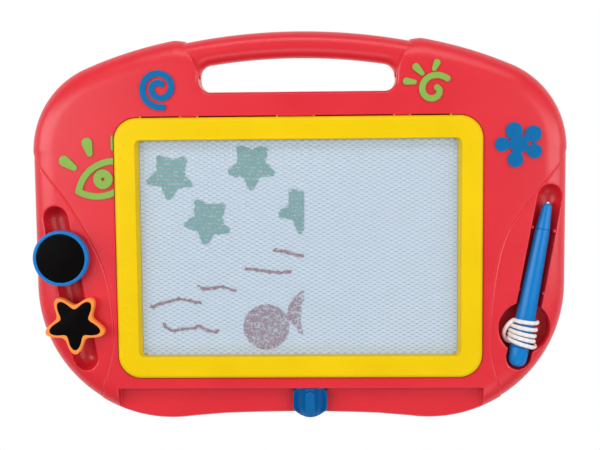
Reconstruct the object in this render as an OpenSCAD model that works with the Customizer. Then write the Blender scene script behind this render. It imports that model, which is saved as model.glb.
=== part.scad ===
// Magnetic drawing board: a two-shell case with a carry handle, a framed magnetic
// screen, a sliding eraser behind it, a corded pen in its well and two magnet stamps.
// It lies on its back: X runs to the right, Y towards the handle, Z up from the table.
// Every outline below is drawn about the screen's centre, and place() moves it to the origin.

/* [Case] */
// Width of the case across its straight sides
case_w = 413; // [410:0.5:416]
// Height of the flat front face above the table
front_z = 26; // [25.5:0.1:26.5]
// Height of the seam between the front and back shells
seam_z = 6; // [6:0.1:6.4]
// Wall thickness of both shells
wall = 2.2; // [2:0.1:2.3]
// Width of the crowned border of the front shell
crown_w = 18; // [16:0.5:19]
// Radius of the back shell's bottom edge
back_round = 5; // [4:0.5:5]

/* [Handle] */
// Half the length of the finger opening
grip_half = 75.3; // [72:0.1:77]
// Width of the handle bar
bar_w = 20.5; // [19:0.1:21]
// Height of the handle bar's crest above the table
bar_top_z = 24; // [22:0.5:25]

/* [Screen] */
// Outer width of the screen frame
frame_w = 282; // [281:0.5:283]
// Outer height of the screen frame
frame_h = 202; // [201:0.5:202]
// Visible width of the screen
view_w = 248.6; // [244:0.2:250]
// Visible height of the screen
view_h = 167.4; // [160:0.2:169]
// Height of the frame's face above the table
frame_z = 29; // [28:0.5:30]

/* [Eraser] */
// Width of the slider knob
knob_w = 26.4; // [24:0.2:28]
// Place of the slider along its slot, where the drawing has been half erased
slider_x = 7.8; // [-20:0.2:20]

/* [Pen] */
// Largest radius of the pen
pen_r = 7.5; // [7:0.1:7.6]
// Length of the pen from its butt to its tip
pen_len = 130; // [126:1:131]
// Lean of the pen and its well from the Y axis, in degrees
lean = 10.4; // [9.6:0.1:11]
// Diameter of the cord
cord_d = 3.2; // [2.8:0.1:3.2]

/* [Stamps] */
// Radius of the round stamp
round_r = 21.4; // [20:0.1:22]
// Height of the stamps' magnet faces above the table
stamp_z = 35.4; // [34.8:0.1:36]

/* [Hidden] */
$fn = 64;

// Height where the upright side turns into the crowned border
crown_z = 12;

// Heights of the stacked parts under the frame
panel_z = 20;
film_t = 0.3;
core_t = 1.4;
panel_top_z = panel_z + 2 * film_t + core_t;
shelf_t = 1.8;

// Outline of the case about the screen's centre: arcs from the handle's crest to the bottom
side_x = case_w / 2;
top_y = 166;
low_y = -135.5;
waist_y = -131;
bar_arc_r = 460;
shoulder_r = 330;
upper_r = 70;
upper_y = 75;
upper_a = 67;
lower_r = 105.5;
waist_r = 1400;
origin_y = (top_y + low_y) / 2;

function arc(c, r, a0, a1, n) =
    [for (i = [0:n]) let (a = a0 + (a1 - a0) * i / n) c + r * [cos(a), sin(a)]];
function mirrored(pts) = [for (i = [len(pts) - 1:-1:0]) [-pts[i][0], pts[i][1]]];

bar_c = [0, top_y - bar_arc_r];
upper_c = [side_x - upper_r, upper_y];
shoulder_c = upper_c + (upper_r - shoulder_r) * [cos(upper_a), sin(upper_a)];
lower_c = [side_x - lower_r, low_y + lower_r];
waist_c = [0, waist_y - waist_r];

// Right half from the crest, clockwise to the middle of the bottom edge
half_outline = concat(
    [[0, 165.7]],
    arc(shoulder_c, shoulder_r, 88, upper_a + 2, 5),
    arc(upper_c, upper_r, upper_a, 0, 8),
    arc(lower_c, lower_r, 0, -98, 11),
    arc(waist_c, waist_r, 87.5, 90, 2));
function inner_points(p) = [for (i = [1:len(p) - 2]) p[i]];
outline = concat(half_outline, inner_points(mirrored(half_outline)));

// A loop moved inwards by d: each point moves along the bisector of its two neighbours
function unit(v) = v / norm(v);
function inward(p, i) = let (n = len(p), t = unit(p[(i + 1) % n] - p[(i + n - 1) % n]))
    [t[1], -t[0]];
function inset(p, d) = [for (i = [0:len(p) - 1]) p[i] + d * inward(p, i)];

// Solid through rings of [inset, height], from the top ring down, each one copy of the loop
module loft(loop, levels) {
    n = len(loop);
    up = levels[0][1] < levels[len(levels) - 1][1];
    rings = [for (i = [0:len(levels) - 1]) levels[up ? len(levels) - 1 - i : i]];
    k = len(rings);
    points = [for (r = rings) for (q = inset(loop, r[0])) [q[0], q[1], r[1]]];
    sides = [for (j = [0:k - 2]) for (i = [0:n - 1])
        let (a = j * n + i, b = j * n + (i + 1) % n)
        each [[a, a + n, b], [b, a + n, b + n]]];
    polyhedron(
        points,
        concat(sides, [[for (i = [0:n - 1]) i]],
            [[for (i = [n - 1:-1:0]) (k - 1) * n + i]]),
        convexity = 8);
}

// Solid through loops of equal length, each turning right-handed about the way they run
module skin(loops) {
    m = len(loops);
    n = len(loops[0]);
    polyhedron([for (l = loops) each l],
        concat([for (j = [0:m - 2]) for (k = [0:n - 1])
            let (a = j * n + k, b = j * n + (k + 1) % n)
            each [[a, a + n, b], [b, a + n, b + n]]],
            [[for (k = [0:n - 1]) k]], [[for (k = [n - 1:-1:0]) (m - 1) * n + k]]),
        convexity = 6);
}

module place() translate([0, -origin_y, 0]) children();
module both_sides() { children(); mirror([1, 0, 0]) children(); }

// Quarter-ellipse border: rings from a vertical edge at z0 to a flat face at z0 + rise
function crown(width, rise, z0, d, n) =
    [for (i = [0:n]) [d + width * (1 - cos(90 * i / n)), z0 + rise * sin(90 * i / n)]];

module round_rect(w, h, r) {
    x = w / 2 - r;
    y = h / 2 - r;
    polygon(concat(arc([x, y], r, 0, 90, 8), arc([-x, y], r, 90, 180, 8),
        arc([-x, -y], r, 180, 270, 8), arc([x, -y], r, 270, 360, 8)));
}

// Rounded slot from point a to point b
module slot(a, b, r) {
    d = b - a;
    t = atan2(d[1], d[0]);
    polygon(concat(arc(a, r, t + 90, t + 270, 14), arc(b, r, t - 90, t + 90, 14)));
}

// Bar with round ends, lying from a to b at height z, as one turned profile
module lying_capsule(a, b, r, z) {
    d = b - a;
    profile = concat([[0, -r]], [for (i = [1:7]) r * [sin(i * 90 / 8), -cos(i * 90 / 8)]],
        [[r, 0], [r, norm(d)]],
        [for (i = [1:7]) [r * cos(i * 90 / 8), norm(d) + r * sin(i * 90 / 8)]],
        [[0, norm(d) + r]]);
    translate([a[0], a[1], z])
        rotate([-90, 0, atan2(d[1], d[0]) - 90])
            rotate_extrude() polygon(profile);
}

// ---- the handle ----
bar_mid_r = bar_arc_r - bar_w / 2;
bar_end_a = 11.8;
hole_low_y = 119.8;
hole_corner = 9;
lip = [[75.9, 137.6], [87.2, 161.3], [90, 176]];

// Oval section of the handle bar, the part above (up = 1) or below the seam
bar_mid_z = 13.6;
bar_gap = 0.02; // the bar's edge stops this short of the seam
function bar_section(half, rise, up) = let (dip = asin((bar_mid_z - seam_z - up * bar_gap) / rise),
    a0 = up > 0 ? -dip : 180 + dip, a1 = up > 0 ? 180 + dip : 360 - dip)
    [for (i = [0:8]) let (a = a0 + (a1 - a0) * i / 8) [bar_mid_r + half * cos(a), bar_mid_z + rise * sin(a)]];
module bar_sweep(half, rise, up, reach, past = 0) {
    arch = bar_section(half, rise, up);
    section = concat(arch, past == 0 ? [] : [arch[8] - [0, up * past], arch[0] - [0, up * past]]);
    skin([for (i = [0:12]) let (a = 90 + reach - i * reach / 6)
        [for (q = section) [bar_c[0] + q[0] * cos(a), bar_c[1] + q[0] * sin(a), q[1]]]]);
}

// Everything that the body gives up between its shoulders
module notch(grow) {
    g = grip_half + grow;
    low = hole_low_y - grow;
    r = hole_corner + grow;
    polygon(concat(
        arc([g - r, low + r], r, -90, 0, 6),
        [for (q = lip) q + [grow, 0]],
        [for (i = [2:-1:0]) [-lip[i][0] - grow, lip[i][1]]],
        arc([-g + r, low + r], r, 180, 270, 6)));
}

// ---- wells and ledge of the front shell ----
cord_well_r = 20;
cord_well_z = 9;
cord_well_c = [173.5, -62.9];
pen_axis_z = 20;
pen_dir = [sin(lean), cos(lean)];
function on_pen(s) = cord_well_c + s * pen_dir;
slot_r = 9.5;
slot_z = 21.7;
pen_slot_a = on_pen(-24.6);
pen_slot_b = on_pen(102.6);
channel_a = [-167.3, -85.3];
channel_b = [-187.9, 24];
channel_r = 9.4;
slot_side = 0.15; // the straight upper walls stand this much outside the round floor
ledge_z = 17.5;
ledge_y = -109.6;
ledge_half = 142;
knob_slot_z = [18.1, 22.3];
nubs = [[77.5, 8.2], [28.6, 9.5]]; // [along the pen, out from its axis]

// Round-bottomed trough in level steps: [radius, floor height]
module trough(a, b, grow)
    for (f = [[slot_r + slot_side, 19], [8.6, 15.6], [7, 13.6], [4.6, 12.3]])
        translate([0, 0, f[1] - grow]) linear_extrude(front_z + 1 - f[1] + grow) slot(a, b, f[0] + grow);

module pen_well(grow) {
    trough(pen_slot_a, pen_slot_b, grow);
    translate([cord_well_c[0], cord_well_c[1], cord_well_z - grow])
        cylinder(r = cord_well_r + grow, h = front_z + 1 - cord_well_z + grow);
}

module stamp_channel(grow) trough(channel_a, channel_b, grow);

// Small nubs on the walls of the pen's well
module pen_nubs()
    for (n = nubs) let (c = on_pen(n[0]), across = [cos(lean), -sin(lean)])
        for (side = [-1, 1]) let (p = c + side * n[1] * across, q = c + side * slot_r * across)
            translate([0, 0, 20.5]) linear_extrude(3.7) slot(p, q, 1.4);

boss_r = 3.8;
boss_bore_r = 1.55;
boss_z = 6.8;
screw_places = [[172, 104], [60, 110.6], [98, 143], [150, -99], [70, -119.5]];
function boss_top(i) = i == 4 ? ledge_z - 1 : front_z - 1;

module bosses()
    both_sides() for (i = [0:4])
        translate([screw_places[i][0], screw_places[i][1], boss_z])
            cylinder(r = boss_r, h = boss_top(i) - boss_z);

module boss_bores()
    both_sides() for (p = screw_places)
        translate([p[0], p[1], boss_z - 1]) cylinder(r = boss_bore_r, h = 7.5);

anchor = [182.6, -77.6];
anchor_hole_r = 2.4;
recess_gap = 0.35;
opening_half = [134, 88];
latch_x = [-105, -46, 43, 101];
latch_w = [32, 62, 62, 32];
hook_x = [-100, 0, 100];
hook_y = 99.3;

module frame_recess(grow)
    round_rect(frame_w + 2 * (recess_gap + grow), frame_h + 2 * (recess_gap + grow), 18.35 + grow);

// The hollow under the face, in steps: inset from the outline, and height
hollow_steps = [[wall, crown_z + 4], [5, 19], [10.5, front_z - wall]];

// What the hollow inside leaves standing: the walls of each well, the bosses and the ledge
module front_inner_walls() {
    linear_extrude(40) notch(wall);
    pen_well(1.8);
    stamp_channel(1.8);
    translate([0, 0, panel_z - shelf_t]) linear_extrude(20) frame_recess(2);
    translate([-ledge_half - 2, -150, ledge_z - 2]) cube([2 * ledge_half + 4, 150 + ledge_y + 2, 20]);
    bosses();
}

module front_body() {
    difference() {
        loft(outline, concat([[0, seam_z]], crown(crown_w, front_z - crown_z, crown_z, 0, 4)));
        linear_extrude(40) notch(0);
        front_hollow();
    }
    bar_sweep(bar_w / 2, bar_top_z - bar_mid_z, 1, bar_end_a);
}

module front_hollow() difference() {
    for (c = hollow_steps)
        translate([0, 0, 5]) linear_extrude(c[1] - 5) polygon(inset(outline, c[0]));
    front_inner_walls();
}

module front_cuts() {
    translate([0, 0, panel_z]) linear_extrude(20) frame_recess(0);
    translate([0, 0, 5]) linear_extrude(20) round_rect(2 * opening_half[0], 2 * opening_half[1], 4);
    translate([-ledge_half, -150, ledge_z]) cube([2 * ledge_half, 150 + ledge_y, 20]);
    translate([-ledge_half + 1, ledge_y - 1, knob_slot_z[0]])
        cube([2 * ledge_half - 2, 4, knob_slot_z[1] - knob_slot_z[0]]);
    for (i = [0:3])
        translate([latch_x[i] - latch_w[i] / 2, frame_h / 2 - 1, front_z - 3]) cube([latch_w[i], 2.1, 4]);
    for (x = hook_x, s = [-1, 1])
        translate([x - 8, s * hook_y - 1.6, panel_z - 3]) cube([16, 3.2, 6]);
}

module front_bores() {
    translate([anchor[0], anchor[1], 0]) cylinder(r = anchor_hole_r, h = 12);
    boss_bores();
}

module front_shell() color("crimson") place() difference() {
    difference() {
        difference() {
            front_body();
            bar_sweep(bar_w / 2 - wall, bar_top_z - bar_mid_z - wall, 1, bar_end_a - 0.35, 1);
        }
        difference() { pen_well(0); pen_nubs(); }
        stamp_channel(0);
    }
    front_cuts();
    front_bores();
}

// ---- back shell ----
rail_y = [[88.6, 96], [-95.6, -88.2]];
rail_top = 9;
head_z = 0.8;
head_well_r = 4.2;

module back_rails()
    for (r = rail_y, y = r)
        translate([-145, y - 0.8, wall - 0.2]) cube([290, 1.6, rail_top - wall + 0.2]);

module back_boss_blocks()
    both_sides() for (p = screw_places)
        translate([p[0], p[1], 1]) cylinder(r = head_well_r + 1.6, h = 5.6);

// The back's hollow, in steps: inset from the outline, and floor height
back_steps = [[wall, 3.6], [4.6, wall]];

module back_body() {
    difference() {
        loft(outline, concat([[0, seam_z]],
            [for (i = [0:3]) [back_round * (1 - cos(30 * i)), back_round * (1 - sin(30 * i))]]));
        translate([0, 0, -1]) linear_extrude(30) notch(0);
        difference() {
            for (c = back_steps)
                translate([0, 0, c[1]]) linear_extrude(10) polygon(inset(outline, c[0]));
            linear_extrude(30) notch(wall);
        }
    }
    bar_sweep(bar_w / 2, bar_top_z - bar_mid_z, -1, bar_end_a);
    back_rails();
    back_boss_blocks();
}

module back_shell() color("firebrick") place() difference() {
    difference() {
        back_body();
        bar_sweep(bar_w / 2 - wall, bar_top_z - bar_mid_z - wall, -1, bar_end_a - 0.6, 1);
    }
    both_sides() for (p = screw_places) translate([p[0], p[1], 0]) {
        translate([0, 0, -1]) cylinder(r = head_well_r, h = head_z + 2.4 + 1);
        cylinder(r = 1.8, h = 12);
    }
    translate([0, 0, -1]) linear_extrude(1.8) difference() {
        round_rect(236, 150, 14);
        for (x = [-78.6, 0, 78.6]) translate([x - 1.5, -80]) square([3, 160]);
    }
}

// ---- screws: pan heads up in their wells, shanks into the front shell's bosses ----
module screw(head_r, head_h, shank_r, shank_l) {
    rotate_extrude() polygon([[0, 0.9], [0.9, 0.9], [1.2, 0], [head_r - 0.7, 0], [head_r, 0.7],
        [head_r, head_h], [shank_r, head_h], [shank_r, head_h + shank_l - 1],
        [0.5, head_h + shank_l], [0, head_h + shank_l]]);
}

module case_screws() color("silver") place()
    both_sides() for (p = screw_places)
        translate([p[0], p[1], head_z + 0.3]) screw(3.3, 2, 1.5, 8.4);

// ---- screen ----
frame_round = 3.6;
module ring_layer(w, h, r, iw, ih, z, t)
    translate([0, 0, z]) linear_extrude(t) difference() {
        round_rect(w, h, r);
        round_rect(iw, ih, 4);
    }

module screen_frame() color("gold") place() {
    steps = 4;
    top = frame_z - panel_top_z;
    difference() {
        union() {
            ring_layer(frame_w, frame_h, 18, view_w, view_h, panel_top_z, top - frame_round);
            for (i = [0:steps - 1]) let (a = 90 * (i + 1) / steps, b = 90 * i / steps,
                d = frame_round * (1 - cos((a + b) / 2)))
                ring_layer(frame_w - 2 * d, frame_h - 2 * d, 18 - d, view_w + 2, view_h + 2,
                    frame_z - frame_round - 1, 1 + frame_round * sin(a));
            ring_layer(view_w + 6, view_h + 6, 7, view_w, view_h, panel_top_z, top);
        }
        translate([0, 0, panel_top_z - 1]) linear_extrude(1 + top - 2) difference() {
            round_rect(frame_w - 5, frame_h - 5, 15.5);
            round_rect(frame_w - 10, frame_h - 10, 13);
        }
    }
    for (x = hook_x, s = [-1, 1])
        translate([x - 7, s * hook_y - 1, panel_z - 2.3]) cube([14, 2, 6.3]);
}

panel_half = [138, 93];
module sheet(z, t)
    translate([-panel_half[0], -panel_half[1], z]) cube([2 * panel_half[0], 2 * panel_half[1], t]);
module back_film() color("whitesmoke") place() sheet(panel_z, film_t);
module honeycomb_core() color("lightsteelblue") place() sheet(panel_z + film_t, core_t);
module front_film() color("azure", 0.3) place() sheet(panel_z + film_t + core_t, film_t);

// ---- badges on the front face ----
badge_t = 1.2;
module drop(a, ra, b, rb) hull() {
    translate(a) circle(ra, $fn = 32);
    translate(b) circle(rb, $fn = 32);
}

// Band of constant width along a spiral with radius r(t) and angle from a0 to a1
function band(c, a0, a1, r, w, n) = concat(
    [for (i = [0:n]) let (t = i / n, a = a0 + (a1 - a0) * t) c + (r(t) + w / 2) * [cos(a), sin(a)]],
    [for (i = [n:-1:0]) let (t = i / n, a = a0 + (a1 - a0) * t) c + (r(t) - w / 2) * [cos(a), sin(a)]]);
function band_end(c, a, r) = c + r * [cos(a), sin(a)];

spiral_c = [-105, 123.4];
spiral_w = 4.8;
spiral_r = function(t) 3.4 + 11.4 * t;
module spiral_badge() color("#0868a8") place() translate([0, 0, front_z]) linear_extrude(badge_t) {
    polygon(band(spiral_c, 60, 640, spiral_r, spiral_w, 56));
    translate(band_end(spiral_c, 60, spiral_r(0))) circle(spiral_w / 2);
    translate(band_end(spiral_c, 640, spiral_r(1))) circle(spiral_w / 2);
}

sun_c = [102.6, 120];
sun_w = 4.8;
sun_r = function(t) 3.6 + 5.5 * pow(1 - t, 0.6) + 4.6 * pow(1 - t, 5);
module sun_badge() color("#7cb342") place() translate([0, 0, front_z]) linear_extrude(badge_t) {
    polygon(band(sun_c, -322, 28, sun_r, sun_w, 40));
    translate(band_end(sun_c, -322, sun_r(0))) circle(sun_w / 2);
    translate(band_end(sun_c, 28, sun_r(1))) circle(sun_w / 2);
    drop([82.6, 126.6], 2.7, [88.8, 125.9], 1.7);
    drop([89.9, 137.2], 2.8, [94.6, 132.2], 1.7);
    drop([105.6, 140.3], 2.6, [103.6, 135.6], 1.7);
}

eye_stroke = 5;
module almond(shrink) intersection() {
    translate([-141, 40]) circle(30.6 - shrink);
    translate([-154, 70]) circle(31.3 - shrink);
}
module eye_badge() color("#7cb342") place() translate([0, 0, front_z]) linear_extrude(badge_t)
    intersection() {
        translate([-200, 30]) square([200 - frame_w / 2 - 0.4, 70]);
        union() {
            difference() { almond(0); almond(eye_stroke); }
            difference() {
                translate([-149.6, 54.4]) circle(7.5);
                translate([-149.6, 54.4]) circle(1.3);
            }
            drop([-179.2, 68.6], 4.1, [-171.6, 63.4], 2.3);
            drop([-161.4, 82.2], 4.1, [-159.4, 74], 2.3);
            drop([-139.4, 85.6], 3.6, [-141, 78], 2);
        }
    }

splat_c = [167.4, 78];
splat_lobes = [[163.9, 88.7, 6.4], [178.4, 86.3, 6.3], [179.4, 73, 5.6], [165, 66.9, 6], [154.9, 78.4, 5.5]];
module splat_badge() color("#0868a8") place() translate([0, 0, front_z]) linear_extrude(badge_t)
    offset(-1.1, $fn = 16) offset(1.1, $fn = 16) {
        translate(splat_c) circle(6.6, $fn = 32);
        for (l = splat_lobes) {
            translate([l[0], l[1]]) circle(l[2], $fn = 32);
            hull() {
                translate([l[0], l[1]]) circle(2.8, $fn = 16);
                translate(splat_c) circle(2.8, $fn = 16);
            }
        }
    }

// ---- eraser: knob on the ledge, its neck through the slot, the arm behind the screen ----
knob_top = 28.6;
knob_low = 17.9;
neck_z = [18.5, 21.9];
foot_z = [9.8, 11.8];
arm_z = 17.2;
shoe_z = 5;
magnet_gap = 0.3;

// Plan of the knob: straight back and sides, bowed front edge
module knob_plan(d)
    intersection() {
        translate([-knob_w / 2 + d, -131.2 + d]) square([knob_w - 2 * d, 21.2 - 2 * d]);
        translate([0, -99]) circle(35 - d);
    }
module knob_front(d)
    intersection() {
        translate([-knob_w / 2 + d, -134]) square([knob_w - 2 * d, 24 - d]);
        translate([0, -99.2]) circle(34 - d);
    }

module slider_knob() color("#1565a8") place() translate([slider_x, 0, 0]) {
    difference() {
        translate([0, 0, knob_low]) linear_extrude(6.6) knob_front(0);
        both_sides() translate([8.2, -140, knob_low + 9.4]) rotate([-90, 0, 0]) cylinder(r = 6.2, h = 40);
    }
    translate([-3.4, -131.8, knob_low + 4]) difference() {
        cube([6.8, 18.6, knob_top - knob_low - 4]);
        translate([-1, -1, 7]) rotate([0, 0, 0]) rotate([26, 0, 0]) translate([0, -6, -3]) cube([9, 6, 9]);
    }
    translate([-6, ledge_y - 3, neck_z[0]]) cube([12, 3 + 6 - 0.2, neck_z[1] - neck_z[0]]);
    translate([-6, ledge_y + 2.8, foot_z[0]]) cube([12, 3, neck_z[1] - foot_z[0]]);
    difference() {
        translate([-6, ledge_y + 2.8, foot_z[0]]) cube([12, 11.9, foot_z[1] - foot_z[0]]);
        translate([0, -100.4, 0]) cylinder(r = 1.7, h = 20);
    }
}

module eraser_arm() color("lightgray") place() translate([slider_x, 0, 0]) difference() {
    union() {
        translate([-7.5, -102.8, foot_z[1]]) cube([15, 198, arm_z - foot_z[1]]);
        for (y = [92.3, -91.9])
            translate([-7.5, y - 2.6, shoe_z]) cube([15, 5.2, foot_z[1] - shoe_z + 1]);
    }
    translate([-5.2, -85, arm_z - 0.8]) cube([10.4, 170, 2]);
    translate([0, -100.4, 0]) cylinder(r = 1.3, h = 16);
    for (y = [-60:30:60]) translate([-4.5, y - 12, 0]) cube([9, 24, 14.2]);
}

module eraser_magnet() color("#3a3434") place()
    translate([slider_x - 5, -84.8, arm_z - 0.8]) cube([10, 169.6, panel_z - magnet_gap - arm_z + 0.8]);

module arm_screw() color("silver") place()
    translate([slider_x, -100.4, foot_z[0] - 1.8]) screw(2.8, 1.8, 1.25, 5.6);

// ---- pen: turned pieces along its own axis, laid in the well ----
butt_s = -31.2;
plug_s = -15.6;
nose_s = 77.4;
tip_s = butt_s + pen_len;
nose_r = 5.45;
nose_end_r = 3.4;
magnet_r = 1.5;

// Turned about the pen's axis, with the profile's y measured along it from the cord well
module on_pen_axis()
    translate([cord_well_c[0], cord_well_c[1], pen_axis_z])
        rotate([-90, 0, -lean]) rotate_extrude() children();

module pen_end_plug() color("#1976c4") place() on_pen_axis() {
    dome = [for (i = [0:6]) [pen_r - 5.5 + 5.5 * sin(15 * i), butt_s + 5.5 - 5.5 * cos(15 * i)]];
    polygon(concat([[0, butt_s]], dome, [[pen_r, plug_s], [5.4, plug_s], [5.4, plug_s + 7], [0, plug_s + 7]]));
}

module pen_barrel() color("#0b78c8") place() on_pen_axis()
    polygon([[5.5, plug_s], [pen_r, plug_s], [pen_r, plug_s + 24], [nose_r, nose_s],
        [nose_r - 1.6, nose_s], [5.5, plug_s + 24]]);

module pen_nose() color("#0b78c8") place() on_pen_axis()
    polygon([[0, nose_s - 6], [nose_r - 1.7, nose_s - 6], [nose_r - 1.7, nose_s], [nose_r, nose_s],
        [nose_end_r, tip_s - 2.8], [nose_end_r - 1.4, tip_s - 1.2], [magnet_r + 0.05, tip_s - 1.2],
        [magnet_r + 0.05, tip_s - 14], [0, tip_s - 14]]);

module pen_magnet() color("silver") place() on_pen_axis()
    polygon([[0, tip_s - 14], [magnet_r, tip_s - 14], [magnet_r, tip_s - 0.8], [0.8, tip_s], [0, tip_s]]);

// ---- cord ----
winding_s = [-10, 8.6];
// Along the cord between the barrel and the winding, on the pen's left: [along, out, height]
loop_steps = [[-13.4, -4.8, 17], [-13.3, -8.4, 16.2], [-12.3, -10.9, 16.2], [-9.8, -12.8, 17.2],
    [-6.2, -13.8, 19], [-2.4, -13.2, 21.4], [0.8, -10.8, 23.8]];
loop_route = [for (q = loop_steps) let (c = on_pen(q[0]))
    [c[0] + q[1] * cos(lean), c[1] - q[1] * sin(lean), q[2]]];
// From the winding's lower end down through the hole in the well's floor
tail_route = [[178, -78.6, 26.4], [180.4, -79, 24.6], [182, -78.7, 21], [182.5, -78, 17],
    [182.6, -77.6, 13], [182.6, -77.6, 9], [182.6, -77.6, 4.6]];

// Tube along a route: rings square to it, eight sides
function tangent(p, i) = unit(p[min(i + 1, len(p) - 1)] - p[max(i - 1, 0)]);
function tube_dir(t) = unit(cross([0.6, -0.8, 0], t));
function steady_ring(c, t, r) = let (u = tube_dir(t), v = cross(t, u))
    [for (k = [0:7]) c + r * (cos(45 * k) * u + sin(45 * k) * v)];
module tube(route, r)
    skin([for (i = [0:len(route) - 1]) steady_ring(route[i], tangent(route, i), r)]);

module cord_winding() color("white") place() on_pen_axis()
    polygon([[pen_r + 0.05, winding_s[0]], [pen_r + cord_d, winding_s[0]],
        [pen_r + cord_d, winding_s[1]], [pen_r + 0.05, winding_s[1]]]);
module cord_loop() color("white") place() tube(loop_route, cord_d / 2);
module cord_tail() color("white") place() tube(tail_route, cord_d / 2);
module cord_knot() color("white") place() translate([anchor[0], anchor[1], wall + 0.3])
    rotate_extrude() polygon(concat([[0, 0]], [for (i = [0:8])
        [2 + 2 * sin(22.5 * i), 2.1 - 2.1 * cos(22.5 * i)]], [[0, 4.2]]));

// ---- stamps: a shallow cup with its magnet sheet up, the grip down in the channel ----
stamp_back_z = 28.4;
grip_top = stamp_back_z + 1;
function channel_at(y) = channel_a + (channel_b - channel_a) * (y - channel_a[1]) / (channel_b[1] - channel_a[1]);
round_c = channel_at(-5.7);
star_c = channel_at(-56.4);

module grip() rotate_extrude()
    polygon([[0, 12.4], [2, 12.6], [4.4, 13.9], [6, 15.6], [7.2, 17.6], [7.6, 19.4], [7.2, 22], [6.4, 26],
        [6.4, grip_top], [0, grip_top]]);

// Five-pointed star with round tips, one tip towards the bottom of the board
function star(tip, valley, soft) = let (b = (tip - valley) / 2, a = (tip + valley) / 2 - soft)
    [for (i = [0:99]) let (t = 3.6 * i, r = a + b * cos(5 * t) + soft * cos(10 * t))
        r * [cos(t - 90), sin(t - 90)]];

sheet_t = 1.6;
module round_stamp_body() color("#1586d0") place() translate([round_c[0], round_c[1], 0]) {
    grip();
    difference() {
        translate([0, 0, stamp_back_z]) cylinder(r = round_r, h = stamp_z - stamp_back_z);
        translate([0, 0, stamp_z - sheet_t]) cylinder(r = round_r - 2.7, h = 3);
    }
}
module round_stamp_magnet() color("#151215") place()
    translate([round_c[0], round_c[1], stamp_z - sheet_t]) cylinder(r = round_r - 2.8, h = sheet_t - 0.2);

module star_stamp_body() color("#f5903c") place() translate([star_c[0], star_c[1], 0]) {
    grip();
    difference() {
        translate([0, 0, stamp_back_z]) linear_extrude(stamp_z - stamp_back_z) polygon(star(23.9, 14.7, 0.45));
        translate([0, 0, stamp_z - sheet_t]) linear_extrude(3) polygon(star(20.6, 11.4, 0.45));
    }
}
module star_stamp_magnet() color("#151215") place()
    translate([star_c[0], star_c[1], stamp_z - sheet_t])
        linear_extrude(sheet_t - 0.2) polygon(star(20.5, 11.3, 0.45));

front_shell();
back_shell();
screen_frame();
front_film();
honeycomb_core();
back_film();
spiral_badge();
sun_badge();
eye_badge();
splat_badge();
case_screws();
slider_knob();
eraser_arm();
eraser_magnet();
arm_screw();
pen_barrel();
pen_nose();
pen_end_plug();
pen_magnet();
cord_winding();
cord_loop();
cord_tail();
cord_knot();
round_stamp_body();
round_stamp_magnet();
star_stamp_body();
star_stamp_magnet();
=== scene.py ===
"""Looks of the magnetic drawing board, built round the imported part.

Lengths below are millimetres about the screen's centre, Z up from the table; row() turns them
into the shared frame, in metres.
"""

import math

import bmesh
import bpy
import numpy as np
from mathutils import Matrix, Vector
from mathutils.geometry import delaunay_2d_cdt


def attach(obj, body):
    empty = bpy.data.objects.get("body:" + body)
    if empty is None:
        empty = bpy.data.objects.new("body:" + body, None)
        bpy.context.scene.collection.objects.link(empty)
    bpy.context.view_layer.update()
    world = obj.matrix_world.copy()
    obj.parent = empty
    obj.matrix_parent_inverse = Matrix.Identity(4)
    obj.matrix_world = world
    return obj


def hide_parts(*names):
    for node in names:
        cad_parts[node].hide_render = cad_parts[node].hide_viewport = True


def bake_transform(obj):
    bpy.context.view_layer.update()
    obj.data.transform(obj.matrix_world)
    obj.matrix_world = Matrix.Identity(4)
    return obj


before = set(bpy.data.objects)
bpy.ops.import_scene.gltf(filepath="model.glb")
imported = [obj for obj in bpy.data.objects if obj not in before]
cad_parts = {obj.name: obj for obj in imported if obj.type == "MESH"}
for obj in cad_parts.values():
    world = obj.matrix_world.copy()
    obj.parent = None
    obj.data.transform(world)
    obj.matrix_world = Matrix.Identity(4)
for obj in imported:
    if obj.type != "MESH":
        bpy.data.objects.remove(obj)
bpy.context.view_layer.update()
ORIGIN_Y = 15.25

# Heights, in millimetres
SEAM_Z = 6.0  # where the two shells meet
CROWN_Z, CROWN_RISE, CROWN_W = 12, 14, 18  # the front shell's rounded border
PEN_Z = 20.0
FRAME_TOP = 29.0
MARK_Z = 21.64  # powder marks, just above the cell walls


def row(points):
    """Millimetres about the screen's centre to metres in the shared frame."""
    p = np.atleast_2d(np.asarray(points, float))
    return (p - [0, ORIGIN_Y, 0]) / 1000


# ---------------------------------------------------------------- camera
camera = bpy.data.objects.new("camera", bpy.data.cameras.new("camera"))
bpy.context.scene.collection.objects.link(camera)
bpy.context.scene.camera = camera
camera.data.sensor_width = 36
camera.data.lens = 63
camera.data.clip_end = 20
TURN = [
    [0.999583, 0.006945, 0.028027],
    [-0.009384, 0.99609, 0.087848],
    [-0.027308, -0.088074, 0.99574],
]
camera.matrix_world = Matrix.Translation(row([23.8, 88.82, 827.85])[0]) @ Matrix(TURN).to_4x4()
bpy.context.scene.view_settings.view_transform = "Standard"  # shows strong plastic colours as they are


# ---------------------------------------------------------------- plane curves
def arc(c, r, a0, a1, n):
    """n + 1 points c + r (cos a, sin a), with a from a0 to a1 degrees."""
    a = np.radians(np.linspace(a0, a1, n + 1))
    return np.asarray(c, float) + r * np.stack([np.cos(a), np.sin(a)], 1)


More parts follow.
